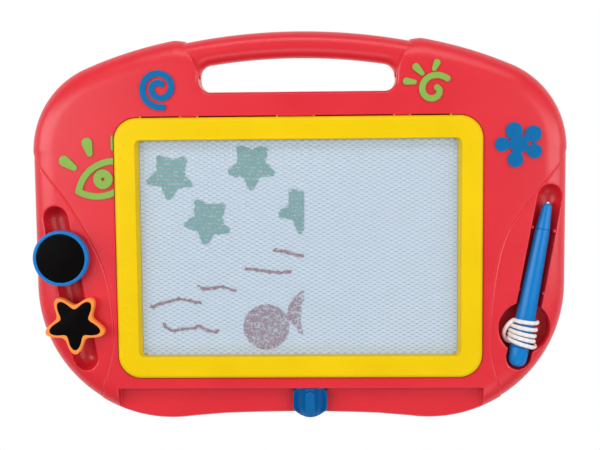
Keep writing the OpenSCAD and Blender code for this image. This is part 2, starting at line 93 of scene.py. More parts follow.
def case_outline():
    """The case's outline: tangent arcs from the handle's crest round to the bottom, mirrored."""
    side, top, low, waist = 206.5, 166.0, -135.5, -131.0
    upper, lower, a = np.array([side - 70, 75]), [side - 105.5, low + 105.5], np.radians(67)
    shoulder = upper + (70 - 330) * np.array([np.cos(a), np.sin(a)])
    half = np.concatenate([
        arc([0, top - 460], 460, 90, 79.8, 24), arc(shoulder, 330, 79.6, 69, 18),
        arc(upper, 70, 67, 0, 34), arc(lower, 105.5, 0, -98, 64),
        arc([0, waist - 1400], 1400, 87.5, 90, 20)])
    return np.concatenate([half, (half * [-1, 1])[::-1][1:-1]])


def even(loop, step):
    """The closed loop again with points about step apart."""
    p = np.vstack([loop, loop[:1]])
    s = np.r_[0, np.cumsum(np.linalg.norm(np.diff(p, axis=0), axis=1))]
    t = np.linspace(0, s[-1], max(8, int(s[-1] / step)) + 1)[:-1]
    return np.stack([np.interp(t, s, p[:, i]) for i in range(p.shape[1])], 1)


def inset(loop, d):
    """A loop moved square to the line between each point's neighbours: a clockwise one moves
    inwards by d, a counter-clockwise one outwards."""
    t = np.roll(loop, -1, 0) - np.roll(loop, 1, 0)
    t /= np.linalg.norm(t, axis=1)[:, None]
    return loop + d * np.stack([t[:, 1], -t[:, 0]], 1)


def round_rect(w, h, r, n=10):
    """Counter-clockwise rounded rectangle."""
    x, y = w / 2 - r, h / 2 - r
    return np.concatenate([arc([x, y], r, 0, 90, n), arc([-x, y], r, 90, 180, n),
                           arc([-x, -y], r, 180, 270, n), arc([x, -y], r, 270, 360, n)])


def slot(a, b, r, n=18):
    """Rounded slot between the points a and b, counter-clockwise."""
    a, b = np.asarray(a, float), np.asarray(b, float)
    t = math.degrees(math.atan2(*(b - a)[::-1]))
    return np.concatenate([arc(a, r, t + 90, t + 270, n), arc(b, r, t - 90, t + 90, n)])


def to_loop(p, loop):
    """Distance from each point to a closed loop."""
    a, b = loop, np.roll(loop, -1, 0)
    ab = b - a
    out = np.empty(len(p))
    for i in range(0, len(p), 2000):
        q = p[i:i + 2000, None] - a[None]
        t = np.clip((q * ab).sum(2) / (ab ** 2).sum(1), 0, 1)
        out[i:i + 2000] = np.sqrt(((q - t[..., None] * ab) ** 2).sum(2).min(1))
    return out


def to_line(p, a, b):
    """Distance from each point to the straight line from a to b."""
    a, d = np.asarray(a, float), np.subtract(b, a)
    t = np.clip(((p - a) @ d) / (d @ d), 0, 1)
    return np.linalg.norm(p - a - t[:, None] * d, axis=1)


def within(p, loop):
    """Even-odd test of each point against a closed loop."""
    x, y = p[:, :1], p[:, 1:2]
    a, b = loop, np.roll(loop, -1, 0)
    cross = (a[:, 1] > y) != (b[:, 1] > y)
    with np.errstate(divide="ignore", invalid="ignore"):
        at = a[:, 0] + (y - a[:, 1]) * (b[:, 0] - a[:, 0]) / (b[:, 1] - a[:, 1])
    return ((cross & (x < at)).sum(1) % 2) == 1


# ---------------------------------------------------------------- meshes
def build(name, verts, faces, material, body, replaces=(), smooth=35, uv=None):
    """A mesh from points in millimetres and index lists, riding on a CAD body."""
    data = bpy.data.meshes.new(name)
    data.from_pydata(row(verts).tolist(), [], [list(map(int, f)) for f in faces])
    data.validate()
    if uv is not None:
        layer = data.uv_layers.new(name="along")
        loops = np.zeros(len(data.loops), np.int32)
        data.loops.foreach_get("vertex_index", loops)
        layer.data.foreach_set("uv", np.asarray(uv, np.float32)[loops].ravel())
    data.shade_smooth()
    data.set_sharp_from_angle(angle=math.radians(smooth))
    data.materials.append(material)
    obj = bpy.data.objects.new(name, data)
    bpy.context.scene.collection.objects.link(obj)
    if body:
        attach(obj, body)
    if replaces:
        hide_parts(*replaces)
    return obj


def weighted(obj):
    """Normals by face area, so that broad flat faces stay flat beside small rounds."""
    m = obj.modifiers.new("flat", "WEIGHTED_NORMAL")
    m.keep_sharp = True
    m.weight = 90
    return obj


def joined(*parts):
    """One vertex and face list from several."""
    verts, faces, n = [], [], 0
    for v, f in parts:
        v = np.asarray(v, float)
        verts.append(v)
        faces += [[int(i) + n for i in q] for q in f]
        n += len(v)
    return np.concatenate(verts), faces


def skin(rings, closed=True, caps=(True, True)):
    """Quads between loops of equal length, with flat caps."""
    rings = [np.asarray(r, float) for r in rings]
    n, m = len(rings[0]), len(rings)
    k = n if closed else n - 1
    faces = [[j * n + i, j * n + (i + 1) % n, (j + 1) * n + (i + 1) % n, (j + 1) * n + i]
             for j in range(m - 1) for i in range(k)]
    if caps[0]:
        faces.append(list(range(n))[::-1])
    if caps[1]:
        faces.append([(m - 1) * n + i for i in range(n)])
    return np.concatenate(rings), faces


def flat(loop, z):
    """The plane loop at height z."""
    return np.column_stack([loop, np.full(len(loop), float(z))])


def plate(loop, z0, z1, r, n=4):
    """A plate with a rounded upper edge: the counter-clockwise loop drawn in by
    r (1 - cos a) as it rises by r sin a."""
    rings = [flat(loop, z0)]
    for a in np.linspace(0, math.pi / 2, n + 1):
        rings.append(flat(inset(loop, -r * (1 - math.cos(a))), z1 - r + r * math.sin(a)))
    return skin(rings)


def lathe(profile, n=56):
    """Rings round the Z axis through (radius, height) pairs."""
    a = np.linspace(0, 2 * np.pi, n, endpoint=False)
    rings = [np.column_stack([r * np.cos(a), r * np.sin(a), np.full(n, h)]) for r, h in profile]
    return skin(rings)


def rounded(profile, r, n=4):
    """The profile with each inner corner replaced by a quadratic curve that starts r away."""
    p = np.asarray(profile, float)
    out = [p[0]]
    for a, b, c in zip(p, p[1:], p[2:]):
        u, v = a - b, c - b
        s, t = b + u * min(.5, r / np.linalg.norm(u)), b + v * min(.5, r / np.linalg.norm(v))
        for k in np.linspace(0, 1, n + 1):
            out.append((1 - k) ** 2 * s + 2 * k * (1 - k) * b + k * k * t)
    return np.array(out + [p[-1]])


def relief(loops, seeds, height, keep, under):
    """A height field z = height(x, y) triangulated so that its edges follow the given loops.
    Its free edges drop straight to under(x, y)."""
    pts, edges = [], []
    for loop, shut in loops:
        n0, n = len(pts), len(loop)
        pts += [Vector(q) for q in loop]
        edges += [(n0 + i, n0 + (i + 1) % n) for i in range(n if shut else n - 1)]
    pts += [Vector(q) for q in seeds]
    v, _, f, *_ = delaunay_2d_cdt(pts, edges, [], 0, 1e-3)
    v, f = np.array([tuple(q) for q in v]), np.array(f)
    f = f[keep(v[f].mean(1))]
    used, back = np.unique(f, return_inverse=True)
    v, f = v[used], back.reshape(-1, 3)
    a, b, c = v[f[:, 0]], v[f[:, 1]], v[f[:, 2]]
    turn = (b - a)[:, 0] * (c - a)[:, 1] - (b - a)[:, 1] * (c - a)[:, 0]
    f[turn < 0] = f[turn < 0][:, ::-1]
    z = height(v)
    e = np.concatenate([f[:, [0, 1]], f[:, [1, 2]], f[:, [2, 0]]])
    _, first, count = np.unique(np.sort(e, 1), axis=0, return_index=True, return_counts=True)
    rim = e[first[count == 1]]
    on, at = np.unique(rim, return_inverse=True)
    at = at.reshape(-1, 2) + len(v)
    verts = np.concatenate([np.column_stack([v, z]), under(v[on])])
    walls = [[i, p, q, j] for (i, j), (p, q) in zip(rim, at)]
    return verts, f.tolist() + walls


# ---------------------------------------------------------------- shading
class Sock:
    """A shader socket with arithmetic."""

    def __init__(self, mat, out):
        self.mat, self.out = mat, out

    def _m(self, op, *others):
        return self.mat.node("Math", dict(enumerate(others)), operation=op)

    def __add__(self, o): return self._m("ADD", self, o)
    def __radd__(self, o): return self._m("ADD", o, self)
    def __sub__(self, o): return self._m("SUBTRACT", self, o)
    def __mul__(self, o): return self._m("MULTIPLY", self, o)
    def sin(self): return self._m("SINE", self)
    def low(self, o): return self._m("MINIMUM", self, o)
    def high(self, o): return self._m("MAXIMUM", self, o)


class Mat:
    """A node material; node() makes any node, linking sockets and setting constants."""

    def __init__(self, name):
        self.data = bpy.data.materials.new(name)
        self.data.use_nodes = True
        self.tree = self.data.node_tree
        self.tree.nodes.clear()

    def node(self, kind, inputs=None, out=0, **props):
        n = self.tree.nodes.new("ShaderNode" + kind)
        for k, x in props.items():
            setattr(n, k, x)
        for k, x in (inputs or {}).items():
            if isinstance(x, Sock):
                self.tree.links.new(x.out, n.inputs[k])
            else:
                n.inputs[k].default_value = x
        return Sock(self, n.outputs[out]) if n.outputs else n

    def place(self):
        return self.node("TexCoord", out="Object")

    def noise(self, scale, detail=2.0, at=None):
        return self.node("TexNoise", {"Vector": at or self.place(), "Scale": scale, "Detail": detail,
                                      "Roughness": 0.5})

    def mix(self, t, a, b):
        """a where t is 0 and b where it is 1."""
        return self.node("Mix", {0: t, 6: a, 7: b}, out=2, data_type="RGBA")

    def bump(self, height, distance, strength=1.0):
        return self.node("Bump", {"Height": height, "Distance": distance, "Strength": strength})

    def end(self, inputs):
        """Principled surface with these inputs."""
        s = self.node("BsdfPrincipled", inputs)
        self.node("OutputMaterial", {"Surface": s})
        return self.data


def srgb(*eight_bit):
    """Linear colour of an 8-bit sRGB triple."""
    f = lambda c: c / 12.92 if c <= 0.04045 else ((c + 0.055) / 1.055) ** 2.4
    return (*(f(c / 255) for c in eight_bit), 1.0)


def scaled(colour, k):
    """The colour k times as bright, up to 1."""
    return (*(min(1, c * k) for c in colour[:3]), 1.0)


def plastic(name, colour, rough=0.38, grain=0.00004, mottle=0.05, gloss=0.25):
    """Moulded plastic: fine grain in the normal, faint cloudiness in colour and gloss."""
    m = Mat(name)
    cloud, fine = m.noise(26.0, 3.0), m.noise(1500.0, 2.0)
    dark, light = scaled(colour, 1 - mottle), scaled(colour, 1 + mottle)
    return m.end({"Base Color": m.mix((cloud - 0.5) * 1.6 + 0.5, dark, light),
                  "Roughness": rough + (cloud - 0.5) * 0.12 + (fine - 0.5) * 0.08,
                  "Normal": m.bump(fine, grain), "Specular IOR Level": gloss})


RED = plastic("red_shell", srgb(220, 36, 50), 0.34, gloss=0.5)
RED_BACK = plastic("red_back", srgb(214, 36, 50), 0.46, grain=0.00008)
YELLOW = plastic("yellow_frame", srgb(236, 198, 2), 0.36, gloss=0.15)
BLUE_BADGE = plastic("blue_badge", srgb(0, 104, 164), 0.45, gloss=0.15)
GREEN_BADGE = plastic("green_badge", srgb(134, 176, 78), 0.4, gloss=0.15)
BLUE_PEN = plastic("blue_pen", srgb(0, 122, 198), 0.3, gloss=0.3)
BLUE_KNOB = plastic("blue_knob", srgb(0, 94, 158), 0.36)
BLUE_STAMP = plastic("blue_stamp", srgb(0, 118, 196), 0.34)
ORANGE = plastic("orange_stamp", srgb(250, 146, 66), 0.36)
GREY = plastic("grey_plastic", srgb(176, 176, 174), 0.5)
SHEET = plastic("magnet_sheet", srgb(5, 3, 4), 0.5, mottle=0.3, gloss=0.05)
STRIP = plastic("magnet_strip", srgb(48, 44, 42), 0.6, mottle=0.2)
WHITE_FILM = plastic("white_film", srgb(226, 230, 232), 0.5)


def metal(name, colour, rough, lines):
    """Metal with faint turning marks."""
    m = Mat(name)
    marks, wide = m.noise(lines, 2.0), m.noise(240.0, 2.0)
    return m.end({"Base Color": m.mix(wide, colour, scaled(colour, 0.8)),
                  "Metallic": 1.0, "Roughness": rough + (marks - 0.5) * 0.16,
                  "Normal": m.bump(marks, 0.00003)})


ZINC = metal("zinc_steel", (0.6, 0.6, 0.6, 1), 0.34, 2600.0)
NICKEL = metal("nickel_magnet", (0.66, 0.64, 0.6, 1), 0.3, 1800.0)

m = Mat("white_cord")
uv = m.node("UVMap", uv_map="along")
u, v = m.node("SeparateXYZ", {0: uv}), m.node("SeparateXYZ", {0: uv}, out=1)
# eight strands run each way round the cord; the colour is darker where they dip, painted shade in the grooves
# between them
braid = ((u * 50.27 + v * 3.4).sin() * (u * 50.27 - v * 3.4).sin()) * 0.5 + 0.5
# the base colour's darker tone is painted shade in the braid's grooves, not a second colour of thread
CORD = m.end({"Base Color": m.mix(braid, srgb(232, 227, 225), srgb(246, 243, 241)),
              "Roughness": 0.75 + braid * 0.1, "Normal": m.bump(braid, 0.00012),
              "Subsurface Weight": 0.1, "Subsurface Radius": (0.002, 0.002, 0.002)})

m = Mat("clear_film")
haze = m.noise(60.0, 3.0)
FILM = m.end({"Base Color": srgb(236, 244, 250), "Roughness": 0.14 + haze * 0.1,
              "Alpha": 0.1 + haze * 0.03, "Normal": m.bump(haze, 0.00003)})

m = Mat("cell_floor")
patch, speck = m.noise(18.0, 3.0), m.noise(900.0, 2.0)
pale = m.mix(patch * 0.6 + speck * 0.5, srgb(204, 222, 236), srgb(222, 234, 244))
FLOOR_OF_CELLS = m.end({"Base Color": pale, "Roughness": 0.6 + speck * 0.1, "Normal": m.bump(speck, 0.00004)})

m = Mat("cell_wall")
shade = m.node("Attribute", attribute_name="dark", out=2)
speck = m.noise(700.0, 2.0)
CELL_WALL = m.end({"Base Color": m.mix(shade + (speck - 0.5) * 0.5, srgb(214, 228, 240), srgb(150, 168, 190)),
                   "Roughness": 0.5 + speck * 0.1, "Normal": m.bump(speck, 0.00003)})


def ink(name, colour, dense, rows_apart, grain):
    """Magnetic powder drawn up into the cells, which lets the screen show through: hatched in
    strokes rows_apart millimetres from each other, or only speckled where that is 0."""
    m = Mat(name)
    at = m.place()
    drift, grit = m.noise(120.0, 2.0, at), m.noise(grain, 1.0, at)
    y = m.node("SeparateXYZ", {0: at}, out=1)
    if rows_apart:
        strokes = (grit - 0.5) * 2.2 + (y * (6283.0 / rows_apart) + drift * 6.0).sin() * 0.42
    else:
        strokes = (grit - 0.5) * 3.4 + (drift * 2.0 - 1.0) * 0.2
    return m.end({"Base Color": m.mix(grit, colour, scaled(colour, 0.75)), "Roughness": 0.7,
                  "Alpha": (strokes + dense).low(0.97).high(0.08)})


CORD_PLAIN = plastic("cord_knot", srgb(236, 230, 228), 0.7)
TEAL = ink("teal_marks", srgb(40, 150, 148), 0.8, 3.1, 620.0)
MAUVE = ink("mauve_marks", srgb(132, 66, 106), 0.52, 0, 760.0)
MAROON = ink("maroon_marks", srgb(126, 36, 70), 0.95, 0, 620.0)


# ---------------------------------------------------------------- the cord, tied to case and pen
LEAN = math.radians(10.4)
WELL, WELL_R = np.array([173.5, -62.9]), 20
PEN_UP = np.array([math.sin(LEAN), math.cos(LEAN)])
PEN_OUT = np.array([math.cos(LEAN), -math.sin(LEAN)])
PEN_R = 7.5
CORD_D = 3.2
ANCHOR = (182.6, -77.6)  # the hole that the cord comes up through


def on_pen(s, out=0.0, z=PEN_Z):
    """Point s along the pen from the cord well's centre and out to its right."""
    return np.append(WELL + s * PEN_UP + out * PEN_OUT, z)


def smooth_line(points, step):
    """Catmull-Rom curve through the points, resampled evenly, and its length."""
    p = np.asarray(points, float)
    p = np.vstack([2 * p[0] - p[1], p, 2 * p[-1] - p[-2]])
    out = []
    for a, b, c, d in zip(p, p[1:], p[2:], p[3:]):
        for t in np.linspace(0, 1, 12, endpoint=False):
            out.append(0.5 * (2 * b + (c - a) * t + (2 * a - 5 * b + 4 * c - d) * t ** 2
                              + (3 * b - a - 3 * c + d) * t ** 3))
    q = np.array(out + [p[-2]])
    s = np.r_[0, np.cumsum(np.linalg.norm(np.diff(q, axis=0), axis=1))]
    t = np.linspace(0, s[-1], int(s[-1] / step) + 1)
    return np.stack([np.interp(t, s, q[:, i]) for i in range(3)], 1), s[-1]


def plane_line(points, step):
    """smooth_line in the plane."""
    return smooth_line([(*q, 0) for q in points], step)[0][:, :2]


def normals(line):
    """Unit vectors square to a plane line, on its left."""
    t = np.gradient(line, axis=0)
    return np.stack([-t[:, 1], t[:, 0]], 1) / np.linalg.norm(t, axis=1)[:, None]


def tube(path, r, sides):
    """Rings of radius r square to the path, carried along it without twist."""
    t = np.gradient(path, axis=0)
    t /= np.linalg.norm(t, axis=1)[:, None]
    u = np.cross(t[0], [0.3, 0.9, 0.1])
    rings, a = [], np.linspace(0, 2 * np.pi, sides, endpoint=False)
    for c, d in zip(path, t):
        u = u - d * (u @ d)
        u /= np.linalg.norm(u)
        v = np.cross(d, u)
        rings.append(c + r * (np.cos(a)[:, None] * u + np.sin(a)[:, None] * v))
    return skin(rings)


def cord_points():
    """Up from the anchor hole, four and a half turns round the pen, and back to its butt.
    Each pair is where one turn starts on the pen's right and where it reaches the left."""
    turns = [(-14.6, -10.3), (-9.6, -6.9), (-5.4, -3.6), (-0.2, 0.3), (5.6, 4.4)]
    pts = [(*ANCHOR, 5), (*ANCHOR, 10), (182.7, -77.9, 15), (182.6, -78.7, 19.5)]
    r = PEN_R + CORD_D / 2 + 0.15

    def half_turn(angles, first, start, stop, lean):
        for a in angles:
            t, turn = (a - first) / 180, math.radians(a)
            out = r * math.cos(turn) + (0.5 - t) * lean
            pts.append(on_pen(start + (stop - start) * t, out, PEN_Z + r * math.sin(turn)))

    for k, (right, left) in enumerate(turns):
        half_turn(range(20 if k == 0 else 0, 181, 20), 0, right, left, 0.8)
        if k + 1 < len(turns):
            half_turn(range(200, 350, 20), 180, left, turns[k + 1][0], -0.8)
    pts.pop()
    return pts + [on_pen(*q) for q in (
        (1.4, -11.9, 23.2), (-2.4, -13.3, 21.2), (-6.2, -13.8, 19), (-9.8, -12.8, 17.2),
        (-12.3, -10.9, 16.2), (-13.3, -8.4, 16.2), (-13.4, -4.8, 17))]


STEP, SIDES, BRAID_REPEAT = 1.5, 12, 5
route, route_length = smooth_line(cord_points(), STEP)
verts, faces = tube(route, CORD_D / 2, SIDES)
along = np.stack([np.tile(np.arange(SIDES) / SIDES, len(route)),
                  np.repeat(np.arange(len(route)) * STEP / BRAID_REPEAT, SIDES)], 1)
cord = build("cord", verts, faces, CORD, None, ["cord_winding", "cord_loop", "cord_tail"], uv=along)
row([*ANCHOR, 5])[0]
row([*ANCHOR, 9])[0]
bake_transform(cord)
row([*ANCHOR, 9])[0]
row(route).tolist()


# ---------------------------------------------------------------- case
def outline():
    """The outline with the two wings drawn in by half a millimetre, as separate mouldings look."""
    p = even(case_outline(), 2.4)
    wing = (np.abs(p[:, 0]) > 158.5) & (p[:, 1] < 72.5) & (p[:, 1] > -119)
    q = p.copy()
    q[wing] = inset(p, 0.55)[wing]
    return q


def notch(grow=0.0):
    """The finger gap and everything above it between the shoulders, counter-clockwise."""
    g, low, r = 75.3, 119.8, 9.0
    lips = plane_line([(g, low + r), (75.9, 137.6), (80.2, 149), (87.2, 161.3), (91, 178)], 2)
    base = arc([g - r, low + r], r, -90, 0, 10)
    half = np.concatenate([base, lips[1:]])
    loop = np.concatenate([half, (half * [-1, 1])[::-1]])
    return inset(loop, grow) if grow else loop


OUT, NOTCH = outline(), notch()
RECESS = round_rect(282.7, 202.7, 18.35, 14)
SLOT_R = 9.65
SLOTS = [(on_pen(-23.5)[:2], on_pen(102.6)[:2]), (np.array([-167.3, -85.3]), np.array([-187.9, 24.0]))]
CREASES = [
    [(206, 72.3), (198.8, 62.4), (180.2, 39.7), (157.8, 5.5), (148.2, -46.2), (148.5, -85.2),
     (157.5, -115.9), (159.6, -124)],
    [(-206, 72.3), (-194.5, 58), (-175.9, 33.2), (-154.1, -8.8), (-146.4, -42.1), (-145.8, -77.1),
     (-155.4, -115.1), (-158.6, -124)]]
CREASES = [plane_line(c, 2.0) for c in CREASES]
LATCHES = [(-105, 32), (-46, 62), (43, 62), (101, 32)]  # middle and width of each
LEDGE_Y, LEDGE_X, LEDGE_Z = -109.6, 142.0, 17.5


def grid_seeds(step):
    """Square grid of points inside the outline."""
    gx, gy = np.meshgrid(np.arange(-204, 205, step), np.arange(-134, 165, step))
    seeds = np.stack([gx.ravel(), gy.ravel()], 1) + 0.37
    return seeds[within(seeds, OUT)]


def fold(z, d, r):
    """z turned down by a quarter circle of radius r towards an edge at distance d = 0."""
    t = np.clip(1 - d / r, 0, 1)
    return z - r * (1 - np.sqrt(1 - t * t))


def near_line(p, line):
    """Distance from each point to an open polyline."""
    return np.min([to_line(p, a, b) for a, b in zip(line, line[1:])], axis=0)


def face_height(p):
    """Crown z = 12 + 14 sqrt(1 - (1 - d / 18)^2) at d from the outline, less the wells, the ledge
    and the creases, each with its own rounded lip."""
    inwards = np.clip(to_loop(p, OUT) / CROWN_W, 0, 1)
    z = CROWN_Z + CROWN_RISE * np.sqrt(1 - (1 - inwards) ** 2)
    for line in CREASES:
        z = z - 0.55 * np.exp(-(near_line(p, line) / 0.55) ** 2)
    z = fold(z, to_loop(p, NOTCH), 2.6)
    z = fold(z, to_loop(p, RECESS), 0.5)
    low = z.copy()
    for a, b in SLOTS:
        q = to_line(p, a, b)
        bowl = 21.7 - np.sqrt(np.clip(SLOT_R ** 2 - q ** 2, 0, None))
        low = np.minimum(low, np.where(q < SLOT_R - 0.1, np.minimum(bowl, 19.8), fold(z, q - SLOT_R, 1.1)))
    q = np.linalg.norm(p - WELL, axis=1)
    bowl = 9 + 1.6 * (1 - np.sqrt(1 - np.clip((q - WELL_R + 1.6) / 1.6, 0, 1) ** 2))
    low = np.minimum(low, np.where(q < WELL_R - 0.1, bowl, fold(z, q - WELL_R, 1.1)))
    d = np.minimum(LEDGE_X - np.abs(p[:, 0]), LEDGE_Y - p[:, 1])
    floor = LEDGE_Z + 1.2 * (1 - np.sqrt(1 - np.clip(1 - d / 1.2, 0, 1) ** 2))
    return np.minimum(low, np.where(d > 0.06, floor, fold(z, -d, 0.9)))


def kept(p):
    """Where the front shell is: inside its outline, clear of hand hole, screen and latches."""
    inside = within(p, OUT) & ~within(p, NOTCH) & ~within(p, RECESS)
    for x, w in LATCHES:
        inside &= ~((np.abs(p[:, 0] - x) < w / 2) & (p[:, 1] < 101.95) & (p[:, 1] > 95))
    return inside


def ledge_loop(d):
    """The slider ledge's open edge, moved out by d."""
    x, y = LEDGE_X + d, LEDGE_Y + d
    return [(-x, -150), (-x, y), (x, y), (x, -150)]


def front_shell():
    """The front shell's relief, with closer loops where a round or a wall needs them."""
    loops = [(inset(OUT, d), True) for d in (0, 0.25, 0.8, 1.7, 3, 4.8, 7, 9.6, 12.6, 15.5, 18)]
    loops += [(notch(d), True) for d in (0, 0.3, 0.9, 1.7, 2.6)]
    loops += [(inset(RECESS, d), True) for d in (0, 0.25, 0.5)]
    for a, b in SLOTS:
        loops += [(slot(a, b, SLOT_R + d), True) for d in (1.1, 0.5, 0.15, 0, -0.3)]
        loops += [(slot(a, b, SLOT_R * math.sin(t)), True) for t in np.radians([76, 65, 54, 42, 30, 18, 7])]
    well_steps = (1.1, 0.5, 0.15, 0, -0.25, -0.6, -1.1, -1.6)
    loops += [(arc(WELL, WELL_R + d, 0, 360, 72)[:-1], True) for d in well_steps]
    loops += [(ledge_loop(d), False) for d in (0.9, 0.4, 0.1, 0, -0.12, -0.4, -0.8, -1.2)]
    for line in CREASES:
        loops += [(line + o * normals(line), False) for o in (-1.1, -0.55, 0, 0.55, 1.1)]
    for x, w in LATCHES:
        loops.append(([(x - w / 2, 99), (x - w / 2, 101.95), (x + w / 2, 101.95), (x + w / 2, 99)], True))

    def under(p):
        by_screen = (np.abs(p[:, 0]) < 141.6) & (np.abs(p[:, 1]) < 102.4)
        return np.column_stack([p, np.where(by_screen, 20.0, SEAM_Z)])

    return relief(loops, grid_seeds(6.0), face_height, kept, under)


def slotted(verts, faces):
    """The slider's slot through the ledge's back wall, from 18.3 to 22.2 high and 282 long."""
    low, high, half = 18.3, 22.2, 141
    b = bmesh.new()
    at = [b.verts.new(v) for v in verts]
    for f in faces:
        b.faces.new([at[i] for i in f])

    def wall():
        return [f for f in b.faces
                if all(abs(v.co.y - LEDGE_Y + 0.06) < 0.07 and abs(v.co.x) < LEDGE_X + 0.1 for v in f.verts)]

    up, across = (0, 0, 1), (1, 0, 0)
    cuts = [((0, 0, low), up), ((0, 0, high), up), ((-half, 0, 0), across), ((half, 0, 0), across)]
    for place, normal in cuts:
        w = wall()
        edges = dict.fromkeys(e for f in w for e in f.edges)
        corners = dict.fromkeys(v for f in w for v in f.verts)
        bmesh.ops.bisect_plane(b, geom=[*w, *edges, *corners], plane_co=place, plane_no=normal)
    middle = [(f, f.calc_center_median()) for f in wall()]
    gone = [f for f, c in middle if low < c.z < high and abs(c.x) < half]
    bmesh.ops.delete(b, geom=gone, context="FACES")
    b.verts.index_update()
    v, f = np.array([tuple(q.co) for q in b.verts]), [[q.index for q in g.verts] for g in b.faces]
    b.free()
    return v, f


def capsule(p, q, r, n=16):
    """Upright post with a round top from p up to q."""
    rings = [(r, 0), (r, q[2] - p[2] - r)] + [(r * math.cos(a), q[2] - p[2] - r + r * math.sin(a))
                                             for a in np.radians([25, 50, 70, 85])]
    v, f = lathe(rings, n)
    return v + p, f


BAR_CENTRE_Y, BAR_R, BAR_Z = -294.0, 449.75, 13.6
BAR_HALF_W, BAR_HALF_H = 10.25, 10.4


def bar(up):
    """Handle bar: an ellipse of half axes 10.25 and 10.4 swept along its arc; the inner edge
    widens by 9.2 (1 - sqrt(1 - t^2)) over the last 9.4 mm before each shoulder."""
    dip = math.asin((BAR_Z - SEAM_Z) / BAR_HALF_H)
    a = np.linspace(-dip, math.pi + dip, 33) if up else np.linspace(math.pi + dip, 2 * math.pi - dip, 17)
    rings = []
    for t in np.radians(np.linspace(90 + 11.7, 90 - 11.7, 121)):
        x = abs((BAR_R - 15) * math.cos(t))
        grow = 9.2 * (1 - math.sqrt(1 - np.clip((x - 65.6) / 9.4, 0, 0.999) ** 2))
        half = np.where(np.cos(a) < 0, BAR_HALF_W + grow, BAR_HALF_W)
        r = BAR_R + half * np.cos(a)
        rings.append(np.column_stack([r * math.cos(t), BAR_CENTRE_Y + r * math.sin(t),
                                      BAR_Z + BAR_HALF_H * np.sin(a)]))
    return skin(rings, closed=False, caps=(False, False))


posts = []
for s, out in ((77.5, 8.9), (28.6, 9.9)):
    for side in (-1, 1):
        posts.append(capsule(on_pen(s, side * out, 14), on_pen(s, side * out, 24.4), 1.5))
front = joined(slotted(*front_shell()), *posts)
weighted(build("front_shell_skin", *front, RED, "case", ["front_shell"]))
build("handle_front", *bar(True), RED, "case", ["front_shell"])

SCREWS = [(172, 104), (60, 110.6), (98, 143), (150, -99), (70, -119.5)]
SCREWS = [(s * x, y) for x, y in SCREWS for s in (-1, 1)]
PANELS = [(-98.3, 36.4), (-39.3, 75.6), (39.3, 75.6), (98.3, 36.4)]  # middle and width of each
PANELS = [round_rect(w, 150, 12) + [x, 0] for x, w in PANELS]


def back_depth(p):
    """Mirror height of the back: edge 5 mm round, shallow panels 0.8 deep, screw wells 3.2 deep."""
    t = np.clip(1 - to_loop(p, OUT) / 5, 0, 1)
    z = -5 * (1 - np.sqrt(1 - t * t))
    z = fold(z, to_loop(p, NOTCH), 2.6)
    for loop in PANELS:
        z = np.where(within(p, loop), -0.8, z)
    for c in SCREWS:
        q = np.linalg.norm(p - c, axis=1)
        z = np.where(q < 4.15, -3.2, np.where(q < 5, fold(z, q - 4.2, 0.6), z))
    return z


def back_shell():
    """The back shell's relief, turned over to face down."""
    loops = [(inset(OUT, 5 * (1 - math.cos(a))), True) for a in np.radians([0, 18, 36, 54, 72, 90])]
    loops += [(notch(d), True) for d in (0, 0.3, 0.9, 1.7, 2.6)]
    for loop in PANELS:
        loops += [(inset(loop, -d), True) for d in (0, 0.5)]
    for c in SCREWS:
        loops += [(arc(c, r, 0, 360, 28)[:-1], True) for r in (4.1, 4.2, 4.4, 4.8)]
    v, f = relief(loops, grid_seeds(8.0), back_depth, lambda p: within(p, OUT) & ~within(p, NOTCH),
                  lambda p: flat(p, -SEAM_Z))
    return v * [1, 1, -1], [q[::-1] for q in f]


weighted(build("back_shell_skin", *back_shell(), RED_BACK, "case", ["back_shell"]))
build("handle_back", *bar(False), RED_BACK, "case", ["back_shell"])


# ---------------------------------------------------------------- small pieces kept from the CAD
def soften(node, material, body, width):
    """The CAD mesh of a node with clean faces and fine rounds on its edges."""
    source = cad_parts[node]
    data = source.data.copy()
    obj = bpy.data.objects.new(node + "_skin", data)
    bpy.context.scene.collection.objects.link(obj)
    data.transform(source.matrix_world)
    b = bmesh.new()
    b.from_mesh(data)
    bmesh.ops.remove_doubles(b, verts=b.verts, dist=2e-6)
    bmesh.ops.dissolve_limit(b, angle_limit=math.radians(1.5), verts=b.verts, edges=b.edges)
    b.to_mesh(data)
    b.free()
    data.shade_smooth()
    data.materials.clear()
    data.materials.append(material)
    bevel = obj.modifiers.new("edges", "BEVEL")
    bevel.width = width / 1000
    bevel.segments = 2
    bevel.angle_limit = math.radians(32)
    bevel.limit_method = "ANGLE"
    weighted(obj)
    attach(obj, body)
    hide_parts(node)


for node, material, body, width in (
        ("case_screws", ZINC, "case", 0.2), ("arm_screw", ZINC, "eraser", 0.2),
        ("eraser_arm", GREY, "eraser", 0.4), ("eraser_magnet", STRIP, "eraser", 0.2),
        ("cord_knot", CORD_PLAIN, "case", 0.1), ("sun_badge", GREEN_BADGE, "case", 0.3),
        ("eye_badge", GREEN_BADGE, "case", 0.3), ("splat_badge", BLUE_BADGE, "case", 0.3),
        ("spiral_badge", BLUE_BADGE, "case", 0.3)):
    soften(node, material, body, width)


